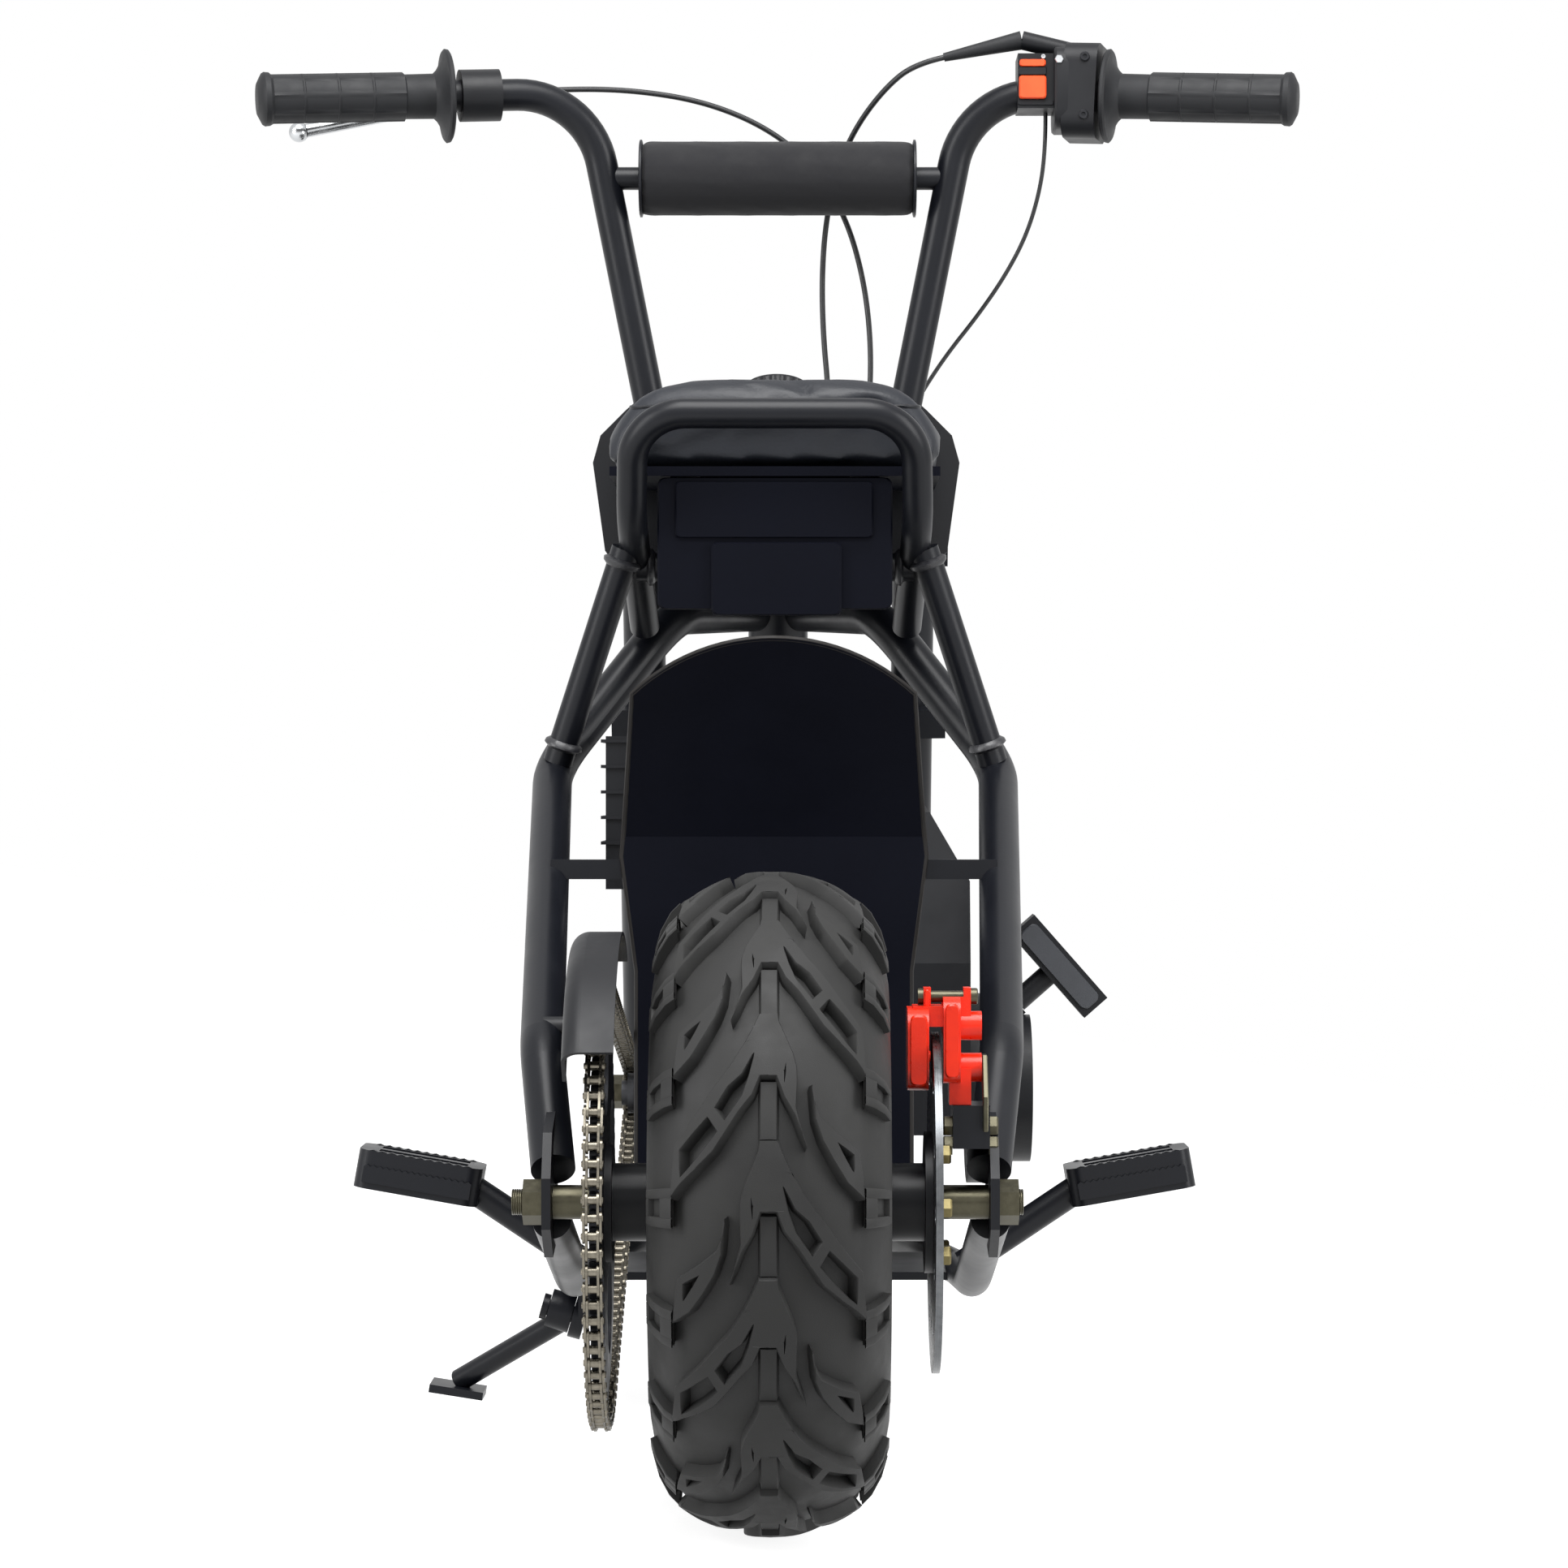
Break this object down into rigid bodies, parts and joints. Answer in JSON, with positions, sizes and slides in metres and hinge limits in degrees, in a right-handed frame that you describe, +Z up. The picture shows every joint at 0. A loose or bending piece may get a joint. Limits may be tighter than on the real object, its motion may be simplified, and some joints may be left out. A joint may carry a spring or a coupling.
{
  "type": "minibike",
  "caption": "Small petrol minibike with fat lugged tyres, tube frame, high handlebar, chain drive and disc brake, leaning on its side stand.",
  "frame": {"origin": "centre of the footprint box on the ground, under the machine as it leans on its side stand", "axes": "+Y forwards, +X to the rider's right, +Z up"},
  "size_m": [0.7316, 1.244, 0.9546],
  "materials": {
    "black_enamel": "satin powder coat",
    "tyre_rubber": "moulded",
    "dark_steel": "blackened steel",
    "bare_steel": "nickel plated or ground",
    "zinc_yellow": "olive zinc plate",
    "black_plastic": "fine grain",
    "gloss_black": "gloss",
    "cast_alloy": "sand cast",
    "seat_vinyl": "grained vinyl",
    "red_enamel": "gloss red enamel",
    "pad_foam": "nylon cover",
    "grip_rubber": "moulded rubber"
  },
  "bodies": {
    "chassis": {"rear_axle": "zinc_yellow", "rear_spacers": "zinc_yellow", "head_tube": "black_enamel", "main_tubes": "black_enamel", "cradle_tubes": "black_enamel", "seat_loop": "black_enamel", "seat_stays": "black_enamel", "dropouts": "black_enamel", "engine_plate": "black_enamel", "rear_fender": "black_enamel", "fender_straps": "black_enamel", "chain": "bare_steel", "chain_guard": "black_plastic", "engine_block": "cast_alloy", "engine_barrel": "cast_alloy", "engine_shroud": "black_plastic", "recoil_starter": "black_plastic", "pull_handle": "black_plastic", "air_filter": "black_plastic", "carburettor": "cast_alloy", "muffler": "dark_steel", "fuel_tank": "gloss_black", "tank_saddle": "black_enamel", "tank_cap": "black_plastic", "seat": "seat_vinyl", "seat_pan": "black_plastic", "seat_bridge": "black_enamel", "foot_pegs": "black_enamel", "brake_caliper": "red_enamel", "caliper_bracket": "black_enamel", "stand_lug": "black_enamel"},
    "rear_wheel": {"rear_tyre": "tyre_rubber", "rear_rim": "black_enamel", "rear_sprocket": "dark_steel", "brake_disc": "bare_steel", "disc_bolts": "zinc_yellow"},
    "steering": {"lower_crown": "black_enamel", "upper_crown": "black_enamel", "fork_legs": "black_enamel", "front_axle": "zinc_yellow", "front_spacers": "zinc_yellow", "handlebar": "black_enamel", "crossbar": "black_enamel", "bar_pad": "pad_foam", "grips": "grip_rubber", "front_fender": "black_plastic", "left_perch": "black_plastic", "brake_lever": "bare_steel", "throttle_housing": "black_plastic", "stop_switch": "black_plastic", "cable_boot": "grip_rubber", "cable_guide": "zinc_yellow", "brake_cable": "black_plastic", "throttle_cable": "black_plastic", "switch_wire": "black_plastic"},
    "front_wheel": {"front_tyre": "tyre_rubber", "front_rim": "black_enamel"},
    "stand": {"side_stand": "black_enamel"}
  },
  "joints": [
    {"name": "rear_wheel_turn", "type": "hinge", "parent": "chassis", "child": "rear_wheel", "pos_m": [0.10317, -0.44, 0.18177], "axis": [0.9877, 0, 0.1564], "continuous": true},
    {"name": "steering_turn", "type": "hinge", "parent": "chassis", "child": "steering", "pos_m": [0.05966, 0.27787, 0.45644], "axis": [-0.1429, -0.4067, 0.9023], "range_deg": [-35, 35]},
    {"name": "front_wheel_turn", "type": "hinge", "parent": "steering", "child": "front_wheel", "pos_m": [0.10317, 0.44, 0.18177], "axis": [0.9877, 0, 0.1564], "continuous": true},
    {"name": "stand_fold", "type": "hinge", "parent": "chassis", "child": "stand", "pos_m": [-0.00085, -0.14, 0.06506], "axis": [-0.9928, 0, 0.1201], "range_deg": [0, 140]}
  ]
}
